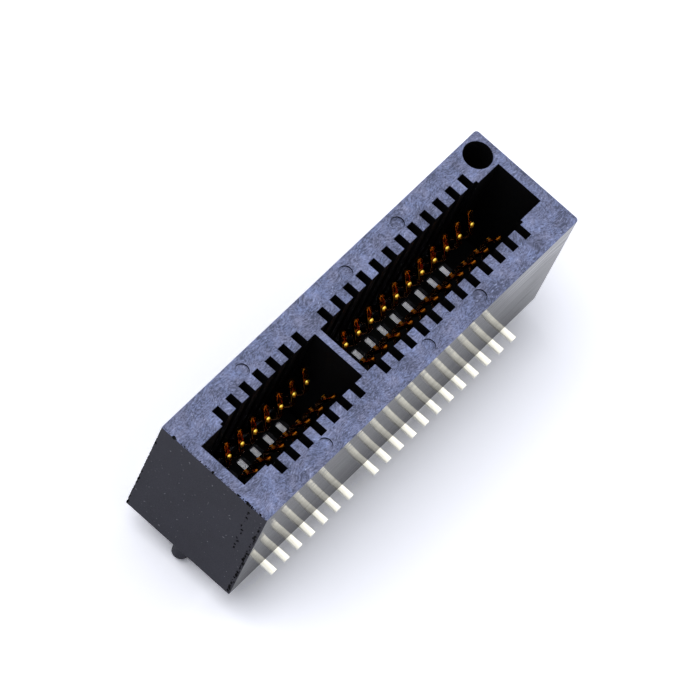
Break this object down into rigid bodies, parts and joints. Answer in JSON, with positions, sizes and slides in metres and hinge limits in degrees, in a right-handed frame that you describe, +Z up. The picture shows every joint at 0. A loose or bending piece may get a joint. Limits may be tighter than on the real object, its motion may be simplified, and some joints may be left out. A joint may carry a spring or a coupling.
{
  "type": "card edge connector",
  "caption": "Upright surface-mount card edge connector: slotted black housing with a key rib, locating pegs and two facing rows of formed spring contacts.",
  "frame": {"origin": "middle of the board plane, under the solder feet, on the middle plane of the card slot", "axes": "+X along the slot to the end with the round corner mark, +Y to the long side beside that mark, +Z up to the mating face"},
  "size_m": [0.0244, 0.0084, 0.0099],
  "materials": {
    "housing": "glass-filled moulding with faint flow marks, smooth on the long sides",
    "contact": "gold plated at the spring, matt tin on the foot"
  },
  "bodies": {
    "root": {"housing": "housing", "contact_a01": "contact", "contact_a02": "contact", "contact_a03": "contact", "contact_a04": "contact", "contact_a05": "contact", "contact_a06": "contact", "contact_a07": "contact", "contact_a09": "contact", "contact_a10": "contact", "contact_a11": "contact", "contact_a12": "contact", "contact_a13": "contact", "contact_a14": "contact", "contact_a15": "contact", "contact_a16": "contact", "contact_a17": "contact", "contact_a18": "contact", "contact_a19": "contact", "contact_a20": "contact", "contact_b01": "contact", "contact_b02": "contact", "contact_b03": "contact", "contact_b04": "contact", "contact_b05": "contact", "contact_b06": "contact", "contact_b07": "contact", "contact_b09": "contact", "contact_b10": "contact", "contact_b11": "contact", "contact_b12": "contact", "contact_b13": "contact", "contact_b14": "contact", "contact_b15": "contact", "contact_b16": "contact", "contact_b17": "contact", "contact_b18": "contact", "contact_b19": "contact", "contact_b20": "contact"}
  },
  "joints": []
}
